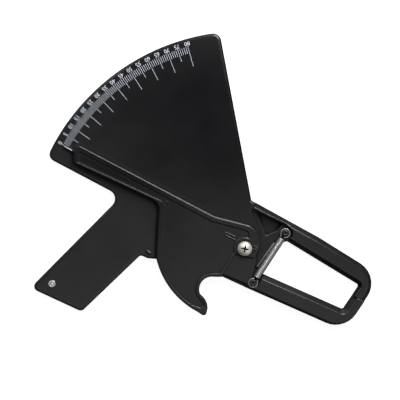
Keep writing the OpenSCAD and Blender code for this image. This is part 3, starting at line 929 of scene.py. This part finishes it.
class CALIPER_OT_wind_spring(Operator):
    """Wind the tension spring of close curls with an open loop over each post"""

    bl_idname = "caliper.wind_spring"
    bl_label = "Wind Spring"

    def execute(self, context):
        spring = context.scene.caliper.spring
        line = MOVING_POST - FIXED_POST
        begin, winding, end = spring_path(spring, line.length / 2)
        mesh = wire_mesh("spring_wire", begin, winding, end, spring.wire)
        middle = (FIXED_POST + MOVING_POST) / 2
        middle.z = SPRING_LEVEL
        turn = Matrix.Rotation(math.atan2(line.y, line.x), 4, "Z")
        mesh.transform(Matrix.Translation(middle) @ turn)
        steel = metal_material(
            "spring_steel", (0.95, 0.84, 0.76), 0.85, dirt_and_shade=0.75, depth=0.0005, metal=0.12,
            lines=150.0,
        )
        made = add_piece("spring_wire", mesh, steel)
        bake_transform(made)
        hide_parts("tension_spring")
        return {"FINISHED"}


# ---------------------------------------------------------------- stage

SENSOR_MM = 36
# Point of the table under the middle of the camera's field
VIEW_CENTRE = Vector((-0.0508, 0.0222, 0))
# Colours of the room: overhead from its far to its near side, and walls from floor to top
CEILING = ((0.0, (0.06, 0.062, 0.07)), (1.0, (0.75, 0.75, 0.73)))
WALLS = (
    (0.0, (0.028, 0.03, 0.045)),
    (0.28, (0.1, 0.11, 0.18)),
    (0.45, (0.88, 0.9, 1)),
    (0.8, (0.46, 0.48, 0.55)),
)
# Direction of the bright doorway, turned back from the camera's
DOOR_TURN = math.radians(34)
# Lamps: name, turn from the camera's, distance, height, size, share of the key lamp's power
LAMPS = (
    ("key_lamp", math.radians(66), 0.65, 0.58, 0.5, 1.0),
    ("left_lamp", math.radians(132), 1.1, 0.8, 0.5, 0.3),
)
# Half width of the floor, and how far it lies below the caliper's back
FLOOR_HALF = 4
FLOOR_DROP = 0.0002
# What the floor gives off to the camera, and the colour that it has for the caliper
FLOOR_GLOW = 0.88
FLOOR_SHADE = (0.05, 0.05, 0.055, 1)


def world_light(turn):
    """White to the camera. To the caliper, a dim room with one paler side overhead."""
    world = bpy.data.worlds.new("studio_room")
    world.use_nodes = True
    tree = world.node_tree
    tree.nodes.clear()
    place = add_node(tree, "ShaderNodeTexCoord").outputs["Generated"]
    height = add_node(tree, "ShaderNodeSeparateXYZ", {"Vector": place}).outputs["Z"]
    near_side = measure(tree, "DOT_PRODUCT", place, (math.sin(turn), -math.cos(turn), 0))
    ceiling = ramp(tree, remap(tree, near_side, -0.06, 0.25), CEILING)
    far_side = remap(tree, near_side, -0.5, -0.95, 0.12, 1.2)
    walls = scaled(tree, ramp(tree, height, WALLS), far_side)
    both = colour_mix(tree, remap(tree, height, 0.8, 0.93), walls, ceiling)
    door_side = measure(tree, "DOT_PRODUCT", place, radial(turn - DOOR_TURN, 1))
    glow = remap(tree, door_side, 0.5, 0.8, 0.0, 0.9, "SMOOTHSTEP")
    door = product(tree, glow, remap(tree, height, 0.25, 0.45))
    lit = add_node(tree, "ShaderNodeVectorMath", {0: both, 1: door}).outputs["Vector"]
    room = add_node(tree, "ShaderNodeBackground", {"Color": lit}).outputs["Background"]
    white = add_node(tree, "ShaderNodeBackground", {"Color": (1, 1, 1, 1)}).outputs["Background"]
    seen = add_node(tree, "ShaderNodeLightPath").outputs["Is Camera Ray"]
    mix = add_node(tree, "ShaderNodeMixShader", {"Fac": seen, 1: room, 2: white})
    add_node(tree, "ShaderNodeOutputWorld", {"Surface": mix.outputs["Shader"]})
    return world


def floor_material(colour):
    """Floor that is white with a soft shadow to the camera and dark to the caliper."""
    made, tree, shader = new_material("studio_floor")
    shader.inputs["Roughness"].default_value = 0.9
    shader.inputs["Specular IOR Level"].default_value = 0.1
    shader.inputs["Emission Color"].default_value = (1, 1, 1, 1)
    seen = add_node(tree, "ShaderNodeLightPath").outputs["Is Camera Ray"]
    tree.links.new(product(tree, seen, FLOOR_GLOW), shader.inputs["Emission Strength"])
    shade = colour_mix(tree, seen, FLOOR_SHADE, tuple(colour))
    tree.links.new(shade, shader.inputs["Base Color"])
    return made


def add_lamp(name, angle, distance, height, size, power):
    light = bpy.data.lights.new(name, "AREA")
    light.shape = "DISK"
    light.size = size
    light.energy = power
    lamp = bpy.data.objects.new(name, light)
    lamp.location = VIEW_CENTRE + radial(angle, distance, height)
    aim = VIEW_CENTRE - lamp.location
    lamp.rotation_mode = "QUATERNION"
    lamp.rotation_quaternion = aim.to_track_quat("-Z", "Y")
    bpy.context.scene.collection.objects.link(lamp)


class CALIPER_OT_build_stage(Operator):
    """Lay the floor, hang the lamps and set the camera over the caliper"""

    bl_idname = "caliper.build_stage"
    bl_label = "Build Stage"

    def execute(self, context):
        stage = context.scene.caliper.stage
        bm = bmesh.new()
        bmesh.ops.create_grid(bm, x_segments=8, y_segments=8, size=FLOOR_HALF)
        floor = bpy.data.objects.new("studio_floor", mesh_from(bm, "studio_floor"))
        floor.location.z = CAD_BOX[0].z - FLOOR_DROP
        floor.data.materials.append(floor_material(stage.floor))
        context.scene.collection.objects.link(floor)
        for name, turn, distance, height, size, share in LAMPS:
            add_lamp(name, stage.turn + turn, distance, height, size, share * stage.lamp)
        camera = bpy.data.cameras.new("photo_camera")
        camera.sensor_width = SENSOR_MM
        camera.lens = SENSOR_MM * stage.height / stage.width
        camera.clip_end = 50
        view = bpy.data.objects.new("photo_camera", camera)
        view.location = VIEW_CENTRE + Vector((0, 0, stage.height + DIAL_FACE))
        view.rotation_euler = (0, 0, stage.turn)
        context.scene.collection.objects.link(view)
        context.scene.camera = view
        context.scene.world = world_light(stage.turn)
        context.scene.view_settings.view_transform = "Standard"
        return {"FINISHED"}


# ---------------------------------------------------------------- panel

OPERATORS = (
    CALIPER_OT_dress_mouldings,
    CALIPER_OT_dress_hardware,
    CALIPER_OT_trim_throat,
    CALIPER_OT_print_ticks,
    CALIPER_OT_print_numbers,
    CALIPER_OT_print_index,
    CALIPER_OT_wind_spring,
    CALIPER_OT_build_stage,
)


class CALIPER_PT_sidebar(Panel):
    bl_label = "Skinfold Caliper"
    bl_idname = "CALIPER_PT_sidebar"
    bl_space_type = "VIEW_3D"
    bl_region_type = "UI"
    bl_category = "Caliper"

    def draw(self, context):
        settings = context.scene.caliper
        for label, group in (
            ("Plastic", settings.plastic),
            ("Scale", settings.scale),
            ("Spring", settings.spring),
            ("Stage", settings.stage),
        ):
            box = self.layout.box()
            box.label(text=label)
            for key in group.__annotations__:
                box.prop(group, key)
        for operator in OPERATORS:
            self.layout.operator(operator.bl_idname)


CLASSES = (
    PlasticSettings,
    ScaleSettings,
    SpringSettings,
    StageSettings,
    CaliperSettings,
    *OPERATORS,
    CALIPER_PT_sidebar,
)


def register():
    for cls in CLASSES:
        bpy.utils.register_class(cls)
    bpy.types.Scene.caliper = PointerProperty(type=CaliperSettings)


def unregister():
    del bpy.types.Scene.caliper
    for cls in reversed(CLASSES):
        bpy.utils.unregister_class(cls)


def main():
    register()
    bpy.ops.caliper.dress_mouldings()
    bpy.ops.caliper.dress_hardware()
    bpy.ops.caliper.trim_throat()
    bpy.ops.caliper.print_ticks()
    bpy.ops.caliper.print_numbers()
    bpy.ops.caliper.print_index()
    bpy.ops.caliper.wind_spring()
    bpy.ops.caliper.build_stage()


if __name__ == "__main__":
    main()
